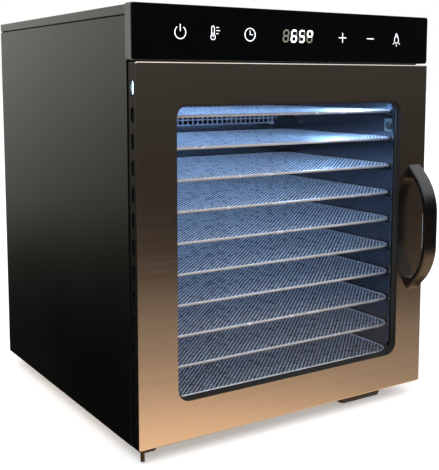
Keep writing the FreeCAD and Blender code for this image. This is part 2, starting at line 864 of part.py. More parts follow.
def handle_arch(depth, inset, radius):
    """A block on the door with slanted ends and round front shoulders."""
    side = handle_x - handle_width / 2
    low, high = grown(handle_z, -inset)
    slant = depth * handle_slope
    outline = [
        FreeCAD.Vector(side, 0, low),
        FreeCAD.Vector(side, 0, high),
        FreeCAD.Vector(side, -depth, high - slant),
        FreeCAD.Vector(side, -depth, low + slant),
    ]
    shape = prism(outline, X_AXIS * handle_width)
    shoulders = []
    for edge in shape.Edges:
        if abs(edge.CenterOfMass.x - handle_x) < 0.01 and abs(edge.CenterOfMass.y + depth) < 0.01:
            shoulders.append(edge)
    return shape.makeFillet(radius, shoulders)


def handle():
    """Moulded strap handle with slanted arms that stand on two pads."""
    outer = handle_arch(handle_reach, 0, handle_shoulder)
    body = outer.cut(handle_arch(handle_reach - handle_bar, handle_foot, handle_shoulder - handle_bar))
    pad_height, pad_depth = handle_pad
    handle_side = about(handle_x, handle_width)
    pads = []
    for pad_z in ((handle_z[0], handle_z[0] + pad_height), (handle_z[1] - pad_height, handle_z[1])):
        pads.append(block(handle_side, (-pad_depth, 0), pad_z).common(outer))
    body = joined([body] + pads)
    edges = []
    for edge in body.Edges:
        on_side = abs(abs(edge.CenterOfMass.x - handle_x) - handle_width / 2) < 0.01
        on_pad = max(abs(vertex.Point.y) for vertex in edge.Vertexes) < pad_depth + 0.01
        if on_side and not on_pad:
            edges.append(edge)
    body = body.makeFillet(handle_edge, edges)
    for z in handle_screw_heights:
        body = body.cut(along_y(screw_radius, handle_x, z, (door_skin - handle_screw_length, 1)))
    return body


def handle_screws():
    screws = [screw(handle_x, z, door_skin, handle_screw_length) for z in handle_screw_heights]
    return Part.makeCompound(screws)


# ---------------------------------------------------------------- trays

def tray_frame(height):
    """Rim of one bent and welded rod, with two bars under the mesh."""
    line_x = grown((-tray_half, tray_half), -tray_rod)
    line_y = grown((tray_front, tray_back), -tray_rod)
    path = rounded_loop(line_x, line_y, height, tray_corner)
    start = path.Edges[0].Vertexes[0].Point
    section = Part.Wire(Part.makeCircle(tray_rod, start, Y_AXIS))
    shapes = [path.makePipeShell([section], True, False)]
    bar_height = height - crossbar_radius - mesh_gap
    for x in (-crossbar_offset, crossbar_offset):
        front_end = FreeCAD.Vector(x, line_y[0], bar_height)
        back_end = FreeCAD.Vector(x, line_y[1], bar_height)
        shapes.append(rod(crossbar_radius, front_end, back_end))
    return joined(shapes)


def tray_mesh(height):
    """Steel mesh of one tray, as a sheet of its true outline and thickness."""
    inset = -2 * tray_rod - mesh_gap
    mesh_x = grown((-tray_half, tray_half), inset)
    mesh_y = grown((tray_front, tray_back), inset)
    outline = rounded_loop(mesh_x, mesh_y, height, tray_corner - tray_rod)
    return Part.Face(outline).extrude(Z_AXIS * mesh_thickness)


# ---------------------------------------------------------------- assembly

makers = [
    roof_cover, left_side_panel, right_side_panel, rear_cover, base_pan, front_frame, feet, cabinet_screws,
    cord_gland, inner_left_wall, inner_right_wall, inner_ceiling, inner_floor, lamp_housing, lamp_lens,
    temperature_probe, fan_baffle, fan_guard, heater_element, heater_clips, fan_impeller, motor_shaft,
    impeller_nut, fan_motor, motor_bracket, control_housing, control_glass, control_board,
    upper_hinge_bracket, lower_hinge_bracket, hinge_pins, hinge_bushes, door_frame, glass_gasket, door_glass,
    door_inner_frame, strike_plate, magnet_catch, handle, handle_screws,
]

nodes = {maker.__name__: maker() for maker in makers}
for number, height in enumerate(tray_heights, start=1):
    nodes[f"tray_{number:02d}_frame"] = tray_frame(height)
    nodes[f"tray_{number:02d}_mesh"] = tray_mesh(height)

to_origin = FreeCAD.Vector(0, (handle_reach - gland_back) / 2, foot_height)
os.makedirs("parts", exist_ok=True)
for name, shape in nodes.items():
    shape.translate(to_origin)
    if not shape.isValid():
        print("not valid:", name)
    shape.exportStep(f"parts/{name}.step")
print(len(nodes), "nodes")
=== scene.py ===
import math

import bmesh
import bpy
from mathutils import Matrix, Vector


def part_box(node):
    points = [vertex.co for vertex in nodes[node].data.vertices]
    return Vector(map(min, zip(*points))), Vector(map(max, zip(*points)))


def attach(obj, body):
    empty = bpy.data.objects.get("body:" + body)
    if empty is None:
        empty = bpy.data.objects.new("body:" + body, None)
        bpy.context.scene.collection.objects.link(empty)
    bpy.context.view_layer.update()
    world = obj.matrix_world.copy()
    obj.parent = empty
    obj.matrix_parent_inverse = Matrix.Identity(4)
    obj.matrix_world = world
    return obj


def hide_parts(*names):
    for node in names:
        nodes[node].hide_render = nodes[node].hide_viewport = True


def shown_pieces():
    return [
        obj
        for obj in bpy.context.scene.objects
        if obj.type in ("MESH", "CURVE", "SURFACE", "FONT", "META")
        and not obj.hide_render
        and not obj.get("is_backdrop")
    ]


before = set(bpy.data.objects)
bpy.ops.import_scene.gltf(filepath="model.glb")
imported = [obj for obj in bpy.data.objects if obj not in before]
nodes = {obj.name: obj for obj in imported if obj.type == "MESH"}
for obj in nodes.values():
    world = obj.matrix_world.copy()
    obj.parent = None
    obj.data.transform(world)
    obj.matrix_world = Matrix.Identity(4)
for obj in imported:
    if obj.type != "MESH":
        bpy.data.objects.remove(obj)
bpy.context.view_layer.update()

# ------------------------------------------------------------ places worked out from the frame

MM = 0.001
GLASS_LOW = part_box("control_glass")[0]
DOOR_LOW, DOOR_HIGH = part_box("door_frame")
PANE_LOW, PANE_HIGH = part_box("door_glass")
LENS_LOW, LENS_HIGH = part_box("lamp_lens")
TRAYS = sorted(name for name in nodes if name.endswith("_mesh"))

# ------------------------------------------------------------ camera

CAMERA_PLACE = Vector((-0.5113, -0.8253, 0.3486))
CAMERA_YAW = math.radians(-32.55)
CAMERA_PITCH = math.radians(-6.55)
SENSOR = 36.0
LENS = 65.45
SHIFT_UP = -0.12

camera_data = bpy.data.cameras.new("camera")
camera_data.sensor_width = SENSOR
camera_data.lens = LENS
camera_data.shift_y = SHIFT_UP
camera = bpy.data.objects.new("camera", camera_data)
camera.location = CAMERA_PLACE
camera.rotation_euler = (math.pi / 2 + CAMERA_PITCH, 0, CAMERA_YAW)
bpy.context.scene.collection.objects.link(camera)
bpy.context.scene.camera = camera

# ------------------------------------------------------------ node helpers


NOISE_ROUGHNESS = 0.55


class Shader:
    """A material's node tree with short calls for the nodes that repeat."""

    def __init__(self, name):
        self.material = bpy.data.materials.new(name)
        self.material.use_nodes = True
        self.tree = self.material.node_tree
        self.nodes = self.tree.nodes
        self.surface = self.nodes["Principled BSDF"]
        self.output = self.nodes["Material Output"]
        self.place = self.nodes.new("ShaderNodeTexCoord").outputs["Object"]

    def link(self, source, target):
        self.tree.links.new(source, target)

    def set(self, **values):
        """Sets plain values on the Principled shader: base_color=..., coat_weight=..."""
        names = {name.lower().replace(" ", "_"): name for name in self.surface.inputs.keys()}
        for key, value in values.items():
            self.surface.inputs[names[key]].default_value = value

    def stretched(self, stretch):
        """Object coordinates scaled by three factors."""
        node = self.nodes.new("ShaderNodeMapping")
        node.inputs["Scale"].default_value = stretch
        self.link(self.place, node.inputs["Vector"])
        return node.outputs["Vector"]

    def noise(self, scale, stretch=(1, 1, 1), detail=3.0):
        node = self.nodes.new("ShaderNodeTexNoise")
        node.inputs["Scale"].default_value = scale
        node.inputs["Detail"].default_value = detail
        node.inputs["Roughness"].default_value = NOISE_ROUGHNESS
        self.link(self.stretched(stretch), node.inputs["Vector"])
        return node.outputs["Fac"]

    def spread(self, value, low, high, from_low=0.3, from_high=0.7):
        """A value mapped onto a range, clamped."""
        node = self.nodes.new("ShaderNodeMapRange")
        node.inputs["From Min"].default_value = from_low
        node.inputs["From Max"].default_value = from_high
        node.inputs["To Min"].default_value = low
        node.inputs["To Max"].default_value = high
        self.link(value, node.inputs["Value"])
        return node.outputs["Result"]

    def ramp(self, value, stops):
        """Colours along a value; stops are (position, colour)."""
        node = self.nodes.new("ShaderNodeValToRGB")
        elements = node.color_ramp.elements
        for index, (position, colour) in enumerate(stops):
            element = elements[index] if index < 2 else elements.new(position)
            element.position = position
            element.color = (*colour, 1)
        self.link(value, node.inputs["Fac"])
        return node.outputs["Color"]

    def maths(self, operation, first, second):
        node = self.nodes.new("ShaderNodeMath")
        node.operation = operation
        for socket, value in zip(node.inputs, (first, second)):
            if isinstance(value, (int, float)):
                socket.default_value = value
            else:
                self.link(value, socket)
        return node.outputs["Value"]

    def colour(self, value):
        self.link(value, self.surface.inputs["Base Color"])

    def roughness(self, value):
        self.link(value, self.surface.inputs["Roughness"])

    def bump(self, height, strength, distance):
        node = self.nodes.new("ShaderNodeBump")
        node.inputs["Strength"].default_value = strength
        node.inputs["Distance"].default_value = distance
        self.link(height, node.inputs["Height"])
        self.link(node.outputs["Normal"], self.surface.inputs["Normal"])


def tones(colour, spread):
    """A darker and a lighter version of a colour, as stops of a ramp."""
    dark = tuple(channel * (1 - spread) for channel in colour)
    light = tuple(min(1.0, channel * (1 + spread)) for channel in colour)
    return [(0.3, dark), (0.7, light)]


# ------------------------------------------------------------ materials

def brushed_metal(name, colour, grain, roughness=(0.24, 0.36), spread=0.07, bump=0.06, metallic=1.0):
    """Steel with long fine scratches; grain gives the stretch of the scratches along X, Y and Z."""
    shader = Shader(name)
    shader.set(metallic=metallic)
    lines = shader.noise(1.0, grain, detail=4.0)
    cloud = shader.noise(9.0, detail=2.0)
    mixed = shader.maths("ADD", shader.maths("MULTIPLY", lines, 0.7), shader.maths("MULTIPLY", cloud, 0.3))
    shader.colour(shader.ramp(mixed, tones(colour, spread)))
    shader.roughness(shader.spread(mixed, *roughness))
    shader.bump(lines, bump, 0.0002)
    return shader.material


def painted_metal(name, colour, roughness=(0.22, 0.3), coat=0.3, grain=(420, 420, 6)):
    """Satin paint over brushed sheet: faint upright grain, orange peel and a thin clear coat."""
    shader = Shader(name)
    shader.set(metallic=1.0, coat_weight=coat, coat_roughness=0.16)
    lines = shader.noise(1.0, grain, detail=2.0)
    peel = shader.noise(520.0, detail=1.0)
    cloud = shader.noise(5.0, detail=3.0)
    mixed = shader.maths("ADD", shader.maths("MULTIPLY", lines, 0.15), shader.maths("MULTIPLY", cloud, 0.85))
    shader.colour(shader.ramp(mixed, tones(colour, 0.06)))
    shader.roughness(shader.spread(mixed, *roughness))
    shader.bump(shader.maths("ADD", peel, shader.maths("MULTIPLY", lines, 0.2)), 0.03, 0.0002)
    return shader.material


def plastic(name, colour, roughness, texture_scale, bump, coat=0.0):
    """Moulded plastic or rubber: fine texture, faint mottling and uneven gloss."""
    shader = Shader(name)
    shader.set(coat_weight=coat, coat_roughness=0.05)
    mottle = shader.noise(24.0, detail=4.0)
    texture = shader.noise(texture_scale, detail=2.0)
    shader.colour(shader.ramp(mottle, tones(colour, 0.15)))
    shader.roughness(shader.spread(mottle, *roughness))
    shader.bump(texture, bump, 0.0003)
    return shader.material


def black_glass():
    shader = Shader("black_glass")
    shader.set(ior=1.5, specular_ior_level=0.35)
    smear = shader.noise(14.0, (1, 1, 2.2), detail=5.0)
    shader.colour(shader.ramp(smear, [(0.3, (0.0004, 0.0004, 0.0006)), (0.7, (0.001, 0.001, 0.0014))]))
    shader.roughness(shader.spread(smear, 0.03, 0.09))
    return shader.material


def see_through(name, tint, gloss_colour, roughness, smear_strength):
    """Clear sheet: what is behind shows through, with a mirror reflection that grows at a slant."""
    shader = Shader(name)
    smear = shader.noise(11.0, (1, 1, 1.8), detail=5.0)
    clear = shader.nodes.new("ShaderNodeBsdfTransparent")
    faint = tuple(channel * 0.97 for channel in tint)
    shader.link(shader.ramp(smear, [(0.3, tint), (0.75, faint)]), clear.inputs["Color"])
    gloss = shader.nodes.new("ShaderNodeBsdfGlossy")
    gloss.inputs["Color"].default_value = (*gloss_colour, 1)
    shader.link(shader.spread(smear, roughness, roughness + smear_strength), gloss.inputs["Roughness"])
    fresnel = shader.nodes.new("ShaderNodeFresnel")
    fresnel.inputs["IOR"].default_value = 1.5
    mix = shader.nodes.new("ShaderNodeMixShader")
    side = shader.nodes.new("ShaderNodeNewGeometry").outputs["Backfacing"]
    from_front = shader.maths("SUBTRACT", 1.0, side)
    shader.link(shader.maths("MULTIPLY", fresnel.outputs["Fac"], from_front), mix.inputs["Fac"])
    shader.link(clear.outputs["BSDF"], mix.inputs[1])
    shader.link(gloss.outputs["BSDF"], mix.inputs[2])
    shader.link(mix.outputs["Shader"], shader.output.inputs["Surface"])
    shader.nodes.remove(shader.surface)
    return shader.material


def glowing(name, colour, strength, spread=0.06):
    """A lit field: even light with a slight unevenness."""
    shader = Shader(name)
    cloud = shader.noise(160.0, detail=2.0)
    tint = shader.ramp(cloud, tones(colour, spread))
    shader.colour(tint)
    shader.link(tint, shader.surface.inputs["Emission Color"])
    shader.set(emission_strength=strength, roughness=0.4)
    return shader.material


def weave_painted_light(name, middle, reach, painted_light_gain):
    """Woven steel wire with painted light, set by height: a painted highlight on the knuckle tops and
    painted shade in the dips; middle is the sheet's height.
    """
    shader = Shader(name)
    shader.set(metallic=0.5)
    split = shader.nodes.new("ShaderNodeSeparateXYZ")
    shader.link(shader.place, split.inputs["Vector"])
    # Height across the wire: the dips get painted shade and the knuckle tops get a painted highlight.
    rise = shader.spread(split.outputs["Z"], 0.0, 1.0, middle - reach, middle + reach)
    wear = shader.noise(160.0, detail=2.0)
    mixed = shader.maths("MULTIPLY", rise, shader.spread(wear, 0.97, 1.0))
    # The gain scales the painted light: full for the row wires, dimmed as painted shade for the column
    # wires.
    stops = []
    for position, colour in WEAVE_PAINTED_LIGHT_TONES:
        stops.append((position, tuple(channel * painted_light_gain for channel in colour)))
    shader.colour(shader.ramp(mixed, stops))
    shader.roughness(shader.spread(wear, 0.24, 0.36))
    return shader.material


# Painted light by height: near-black painted shade in the dips, rising to a white painted highlight on the
# knuckles.
WEAVE_PAINTED_LIGHT_TONES = [
    (0.3, (0.003, 0.003, 0.005)),
    (0.6, (0.03, 0.033, 0.045)),
    (0.85, (0.78, 0.8, 0.85)),
    (1.0, (1.0, 1.0, 1.0)),
]


def circuit_board():
    shader = Shader("circuit_board")
    shader.set(coat_weight=0.4, coat_roughness=0.2)
    tracks = shader.nodes.new("ShaderNodeTexBrick")
    tracks.inputs["Scale"].default_value = 240.0
    tracks.inputs["Mortar Size"].default_value = 0.03
    tracks.inputs["Color1"].default_value = (0.015, 0.11, 0.045, 1)
    tracks.inputs["Color2"].default_value = (0.02, 0.14, 0.055, 1)
    tracks.inputs["Mortar"].default_value = (0.05, 0.24, 0.1, 1)
    shader.link(shader.place, tracks.inputs["Vector"])
    shader.colour(tracks.outputs["Color"])
    shader.roughness(shader.spread(shader.noise(40.0), 0.35, 0.5))
    return shader.material


ALONG_X = (5, 700, 700)
ALONG_Y = (700, 5, 700)
ACROSS_Z = (5, 5, 700)
DRAWN = (60, 60, 60)
SPUN = (90, 90, 90)
TURNED = (120, 120, 120)
PLATED = (160, 160, 160)

door_steel = brushed_metal(
    "door_steel", (0.6, 0.55, 0.5), ALONG_X, roughness=(0.16, 0.2), spread=0.04, bump=0.015
)
# Painted shade: the door frame's side faces get a steel far darker than its front (0.09 against 0.6).
door_edge_steel = brushed_metal("door_edge_steel", (0.09, 0.08, 0.07), ACROSS_Z, roughness=(0.3, 0.4))
chamber_steel = brushed_metal(
    "chamber_steel", (0.2, 0.21, 0.235), ALONG_Y, roughness=(0.14, 0.2), spread=0.05, bump=0.02
)
plated_steel = brushed_metal("plated_steel", (0.62, 0.61, 0.58), PLATED, roughness=(0.25, 0.4), spread=0.15)
wire_steel = brushed_metal(
    "wire_steel", (0.52, 0.46, 0.43), DRAWN, roughness=(0.2, 0.3), bump=0.02, metallic=0.5
)
guard_steel = brushed_metal("guard_steel", (0.36, 0.38, 0.43), DRAWN, bump=0.02, metallic=0.5)
fan_metal = brushed_metal("fan_metal", (0.7, 0.71, 0.73), SPUN, roughness=(0.3, 0.45), spread=0.1)
pin_steel = brushed_metal("pin_steel", (0.07, 0.055, 0.045), TURNED, roughness=(0.3, 0.45), spread=0.2)
heater_metal = brushed_metal("heater_metal", (0.24, 0.2, 0.17), TURNED, roughness=(0.4, 0.55), spread=0.25)
side_paint = painted_metal("side_paint", (0.17, 0.17, 0.16))
roof_paint = painted_metal("roof_paint", (0.26, 0.255, 0.24), grain=(420, 6, 420))
# Painted shade: near black for the side panels' faces off the outer skin, which show only in the seams.
seam_paint = plastic("seam_paint", (0.004, 0.004, 0.004), (0.6, 0.7), 700.0, 0.1)
motor_paint = painted_metal("motor_paint", (0.12, 0.125, 0.13), coat=0.1)
housing_plastic = plastic("housing_plastic", (0.1, 0.1, 0.095), (0.34, 0.46), 900.0, 0.12)
inner_plastic = plastic("inner_plastic", (0.014, 0.014, 0.015), (0.4, 0.55), 800.0, 0.12)
handle_plastic = plastic("handle_plastic", (0.0015, 0.0014, 0.0014), (0.2, 0.3), 60.0, 0.02, coat=0.05)
rubber = plastic("rubber", (0.02, 0.02, 0.02), (0.55, 0.75), 1400.0, 0.3)
gasket_rubber = plastic("gasket_rubber", (0.016, 0.0155, 0.0145), (0.5, 0.65), 1200.0, 0.1)
bush_plastic = plastic("bush_plastic", (0.6, 0.58, 0.52), (0.35, 0.5), 600.0, 0.08)
gland_plastic = plastic("gland_plastic", (0.02, 0.02, 0.02), (0.35, 0.5), 700.0, 0.15)
clear_glass = see_through("clear_glass", (0.93, 0.95, 0.955), (0.95, 0.97, 1.0), 0.0, 0.03)
panel_glass = black_glass()
board = circuit_board()
lens_glow = glowing("lens_glow", (0.5, 0.72, 1.0), 6.0)
icon_white = glowing("icon_white", (0.86, 0.9, 1.0), 1.3)
digit_white = glowing("digit_white", (0.93, 0.94, 1.0), 2.2)
# Painted light: the unlit segments are given a faint glow of their own.
digit_unlit = glowing("digit_unlit", (0.2, 0.19, 0.15), 0.12)
slot_glow = glowing("slot_glow", (0.45, 0.68, 1.0), 1.6)

FINISHES = {
    "roof_cover": roof_paint,
    "left_side_panel": side_paint,
    "right_side_panel": side_paint,
    "rear_cover": side_paint,
    "base_pan": plated_steel,
    "front_frame": chamber_steel,
    "feet": rubber,
    "cabinet_screws": plated_steel,
    "cord_gland": gland_plastic,
    "inner_left_wall": chamber_steel,
    "inner_right_wall": chamber_steel,
    "inner_ceiling": chamber_steel,
    "inner_floor": chamber_steel,
    "lamp_housing": housing_plastic,
    "lamp_lens": lens_glow,
    "temperature_probe": plated_steel,
    "fan_baffle": chamber_steel,
    "fan_guard": guard_steel,
    "heater_element": heater_metal,
    "heater_clips": plated_steel,
    "fan_impeller": fan_metal,
    "motor_shaft": plated_steel,
    "impeller_nut": plated_steel,
    "fan_motor": motor_paint,
    "motor_bracket": plated_steel,
    "control_housing": housing_plastic,
    "control_glass": panel_glass,
    "control_board": board,
    "upper_hinge_bracket": plated_steel,
    "lower_hinge_bracket": inner_plastic,
    "hinge_pins": pin_steel,
    "hinge_bushes": bush_plastic,
    "door_frame": door_steel,
    "glass_gasket": gasket_rubber,
    "door_glass": clear_glass,
    "door_inner_frame": inner_plastic,
    "strike_plate": plated_steel,
    "magnet_catch": inner_plastic,
    "handle": handle_plastic,
    "handle_screws": plated_steel,
}


def finish_node(name, material):
    mesh = nodes[name].data
    mesh.materials.clear()
    mesh.materials.append(material)


for node_name, finish in FINISHES.items():
    finish_node(node_name, finish)
for node_name in nodes:
    if node_name.startswith("tray_"):
        finish_node(node_name, wire_steel)

FACE_TILT = 0.35
PROBE_PLATE = 1.2 * MM
SEAM_SHADE_DEPTH = 0.4 * MM


def second_finish(name, material, chosen):
    """Gives the faces of a node that a test picks another finish."""
    mesh = nodes[name].data
    mesh.materials.append(material)
    for polygon in mesh.polygons:
        if chosen(polygon):
            polygon.material_index = 1


def on_door_edge(polygon):
    return polygon.normal.y > -FACE_TILT and abs(polygon.normal.x) > FACE_TILT


def on_window_throat(polygon):
    beside_x = PANE_LOW.x < polygon.center.x < PANE_HIGH.x
    beside_z = PANE_LOW.z < polygon.center.z < PANE_HIGH.z
    return beside_x and beside_z and abs(polygon.normal.y) < FACE_TILT


def on_probe_cap(polygon):
    return polygon.center.x < PROBE_HIGH.x - PROBE_PLATE


def within_panel(polygon):
    return abs(polygon.center.x) < PANEL_OUTSIDE - SEAM_SHADE_DEPTH


PROBE_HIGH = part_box("temperature_probe")[1]
# The door frame's side faces take the painted-shade steel.
second_finish("door_frame", door_edge_steel, on_door_edge)
second_finish("door_inner_frame", chamber_steel, on_window_throat)
second_finish("temperature_probe", inner_plastic, on_probe_cap)
# Side panels: every face off the outer skin gets the near-black painted shade.
for panel_name in ("left_side_panel", "right_side_panel"):
    PANEL_OUTSIDE = max(abs(vertex.co.x) for vertex in nodes[panel_name].data.vertices)
    second_finish(panel_name, seam_paint, within_panel)

# ------------------------------------------------------------ mesh helpers


def add_piece(name, mesh, material, body):
    mesh.materials.append(material)
    piece = bpy.data.objects.new(name, mesh)
    bpy.context.scene.collection.objects.link(piece)
    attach(piece, body)
    return piece


def add_prism(shape, outline, front, back):
    """A closed flat prism in a bmesh: an outline of (x, z) points between two depths."""
    near = [shape.verts.new((x, front, z)) for x, z in outline]
    far = [shape.verts.new((x, back, z)) for x, z in outline]
    shape.faces.new(near)
    shape.faces.new(list(reversed(far)))
    count = len(outline)
    for index in range(count):
        after = (index + 1) % count
        shape.faces.new((near[after], near[index], far[index], far[after]))


def stroke(start, end, width):
    """The outline of a straight bar with cut ends between two points of the panel."""
    run = Vector((end[0] - start[0], end[1] - start[1]))
    side = Vector((-run.y, run.x)).normalized() * width / 2
    a = Vector(start)
    b = Vector(end)
    return [tuple(a - side), tuple(b - side), tuple(b + side), tuple(a + side)]


def add_arc(shape, centre, radius, width, first, last, front, back, steps=40):
    """Part of a flat ring, from one angle to another in degrees, counted from the right."""
    inner = []
    outer = []
    for step in range(steps + 1):
        angle = math.radians(first + (last - first) * step / steps)
        for ring, reach in ((inner, radius - width / 2), (outer, radius + width / 2)):
            ring.append((centre[0] + reach * math.cos(angle), centre[1] + reach * math.sin(angle)))
    for step in range(steps):
        add_prism(shape, [inner[step], outer[step], outer[step + 1], inner[step + 1]], front, back)


def finish_mesh(name, shape):
    bmesh.ops.remove_doubles(shape, verts=shape.verts, dist=1e-7)
    bmesh.ops.recalc_face_normals(shape, faces=shape.faces)
    mesh = bpy.data.meshes.new(name)
    shape.to_mesh(mesh)
    shape.free()
    return mesh


# ------------------------------------------------------------ woven tray mesh

WEAVE_PITCH = 2.6 * MM
WEAVE_WIRE = 0.52 * MM
WEAVE_LIFT = 0.5 * MM
WEAVE_SIDES = 3
WEAVE_RISE = WEAVE_LIFT + WEAVE_WIRE
# The column wires are a painted-shade copy of the row wires: the same steel at 0.22 of the brightness.
ROW_PAINTED_LIGHT_GAIN = 1.0
COLUMN_PAINTED_SHADE_GAIN = 0.22
MESH_CORNER = 16.5 * MM
UP = Vector((0, 0, 1))
ALONG_DEPTH = Vector((0, 1, 0))
ALONG_WIDTH = Vector((1, 0, 0))


def woven_sheet(name, low, high, corner):
    """Plain weave between two corners of a box: each wire goes over and under its neighbours."""
    height = (low.z + high.z) / 2
    columns = int((high.x - low.x) / WEAVE_PITCH)
    rows = int((high.y - low.y) / WEAVE_PITCH)
    start_x = (low.x + high.x - columns * WEAVE_PITCH) / 2
    start_y = (low.y + high.y - rows * WEAVE_PITCH) / 2
    points = []
    faces = []

    def inside(x, y):
        """Whether a place is within the rim's inner outline, with its round corners."""
        gap_x = max(low.x + corner - x, x - high.x + corner, 0)
        gap_y = max(low.y + corner - y, y - high.y + corner, 0)
        return math.hypot(gap_x, gap_y) <= corner

    def add_wire(path, across):
        """A three-sided bar through the points of a path; across is its sideways direction."""
        if len(path) < 2:
            return
        first = len(points)
        for place in path:
            for side in range(WEAVE_SIDES):
                angle = math.pi / 2 + side * 2 * math.pi / WEAVE_SIDES
                beside = place + across * (WEAVE_WIRE * math.cos(angle))
                points.append(beside + UP * (WEAVE_WIRE * math.sin(angle)))
        for ring in range(len(path) - 1):
            here = first + ring * WEAVE_SIDES
            for side in range(WEAVE_SIDES):
                after = (side + 1) % WEAVE_SIDES
                there = here + WEAVE_SIDES
                faces.append((here + side, here + after, there + after, there + side))
        faces.append(tuple(first + side for side in reversed(range(WEAVE_SIDES))))
        faces.append(tuple(first + (len(path) - 1) * WEAVE_SIDES + side for side in range(WEAVE_SIDES)))

    for row in range(rows + 1):
        y = start_y + row * WEAVE_PITCH
        path = []
        for column in range(columns + 1):
            x = start_x + column * WEAVE_PITCH
            if inside(x, y):
                lift = WEAVE_LIFT if (row + column) % 2 else -WEAVE_LIFT
                path.append(Vector((x, y, height + lift)))
        add_wire(path, ALONG_DEPTH)
    row_faces = len(faces)
    for column in range(columns + 1):
        x = start_x + column * WEAVE_PITCH
        path = []
        for row in range(rows + 1):
            y = start_y + row * WEAVE_PITCH
            if inside(x, y):
                lift = -WEAVE_LIFT if (row + column) % 2 else WEAVE_LIFT
                path.append(Vector((x, y, height + lift)))
        add_wire(path, ALONG_WIDTH)
    mesh = bpy.data.meshes.new(name)
    mesh.from_pydata(points, [], faces)
    # Column wires take the second slot, the painted-shade copy.
    for polygon in mesh.polygons[row_faces:]:
        polygon.material_index = 1
    mesh.shade_smooth()
    return mesh


first_low, first_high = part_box(TRAYS[0])
weave = woven_sheet("weave", first_low, first_high, MESH_CORNER)
weave_middle = (first_low.z + first_high.z) / 2
weave.materials.append(weave_painted_light("weave_rows", weave_middle, WEAVE_RISE, ROW_PAINTED_LIGHT_GAIN))
weave.materials.append(weave_painted_light("weave_columns", weave_middle, WEAVE_RISE, COLUMN_PAINTED_SHADE_GAIN))
for node_name in TRAYS:
    sheet = bpy.data.objects.new(node_name.replace("_mesh", "_weave"), weave)
    bpy.context.scene.collection.objects.link(sheet)
    sheet.location.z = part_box(node_name)[0].z - first_low.z
    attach(sheet, node_name.replace("_mesh", ""))
    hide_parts(node_name)

# ------------------------------------------------------------ signs on the control glass

INK_FRONT = GLASS_LOW.y - 0.1 * MM
INK_BACK = GLASS_LOW.y + 0.05 * MM
ICON_LINE = 0.7 * MM
FINE_LINE = 0.5 * MM
PANEL_MIDDLE = 0.391
LEFT_EDGE = DOOR_LOW.x
POWER_PLACE = (46.4, 0)
HEAT_PLACE = (80.6, 0)
CLOCK_PLACE = (121.3, 0)
PLUS_PLACE = (233.7, 0)
MINUS_PLACE = (270.7, 0)
LAMP_PLACE = (307.3, -0.4)
PLUS_REACH = 4.8 * MM
MINUS_REACH = 4.7 * MM


def panel_point(x, z):
    """A point on the glass from millimetres right of the door's left edge and above the middle."""
    return (LEFT_EDGE + x * MM, PANEL_MIDDLE + z * MM)


def add_stroke(shape, start, end, width=ICON_LINE):
    add_prism(shape, stroke(start, end, width), INK_FRONT, INK_BACK)


def add_ring(shape, centre, radius, first=0, last=360, width=ICON_LINE):
    add_arc(shape, centre, radius, width, first, last, INK_FRONT, INK_BACK)


def power_sign(shape):
    centre = panel_point(*POWER_PLACE)
    add_ring(shape, centre, 5.6 * MM, 125, 415)
    add_stroke(shape, (centre[0], centre[1] + 1 * MM), (centre[0], centre[1] + 7.2 * MM))


def heat_sign(shape):
    x, z = panel_point(*HEAT_PLACE)
    add_stroke(shape, (x - 1.5 * MM, z - 1.5 * MM), (x - 1.5 * MM, z + 5 * MM), FINE_LINE)
    add_stroke(shape, (x + 1.5 * MM, z - 1.5 * MM), (x + 1.5 * MM, z + 5 * MM), FINE_LINE)
    add_ring(shape, (x, z + 5 * MM), 1.5 * MM, 0, 180, FINE_LINE)
    add_ring(shape, (x, z - 3.3 * MM), 2.4 * MM, 130, 410, FINE_LINE)
    add_stroke(shape, (x, z - 3.3 * MM), (x, z + 1 * MM), FINE_LINE)
    for rise, reach in ((5.4, 2.6), (2.6, 3.8), (-0.2, 2.2)):
        add_stroke(shape, (x + 3.6 * MM, z + rise * MM), (x + (3.6 + reach) * MM, z + rise * MM), FINE_LINE)


def clock_sign(shape):
    centre = panel_point(*CLOCK_PLACE)
    add_ring(shape, centre, 5.8 * MM)
    add_stroke(shape, centre, (centre[0], centre[1] + 3.8 * MM), FINE_LINE)
    add_stroke(shape, (centre[0] - FINE_LINE / 2, centre[1]), (centre[0] + 3.2 * MM, centre[1]), FINE_LINE)


def plus_sign(shape):
    x, z = panel_point(*PLUS_PLACE)
    add_stroke(shape, (x - PLUS_REACH, z), (x + PLUS_REACH, z))
    add_stroke(shape, (x, z - PLUS_REACH), (x, z - ICON_LINE / 2))
    add_stroke(shape, (x, z + ICON_LINE / 2), (x, z + PLUS_REACH))


def minus_sign(shape):
    x, z = panel_point(*MINUS_PLACE)
    add_stroke(shape, (x - MINUS_REACH, z), (x + MINUS_REACH, z))


def lamp_sign(shape):
    x, z = panel_point(*LAMP_PLACE)
    add_stroke(shape, (x - 0.7 * MM, z + 6.4 * MM), (x - 2.6 * MM, z + 1.2 * MM), FINE_LINE)
    add_stroke(shape, (x + 0.7 * MM, z + 6.4 * MM), (x + 2.6 * MM, z + 1.2 * MM), FINE_LINE)
    add_stroke(shape, (x - 0.7 * MM, z + 6.4 * MM), (x + 0.7 * MM, z + 6.4 * MM), FINE_LINE)
    add_stroke(shape, (x - 1.9 * MM, z + 3.4 * MM), (x + 1.9 * MM, z + 3.4 * MM), FINE_LINE)
    add_ring(shape, (x, z - 0.2 * MM), 3.0 * MM, 150, 390, FINE_LINE)
    for angle in (222, 270, 318):
        ray = Vector((math.cos(math.radians(angle)), math.sin(math.radians(angle))))
        start = (x + ray.x * 4.4 * MM, z - 0.2 * MM + ray.y * 4.4 * MM)
        end = (x + ray.x * 6.4 * MM, z - 0.2 * MM + ray.y * 6.4 * MM)
        add_stroke(shape, start, end, FINE_LINE)


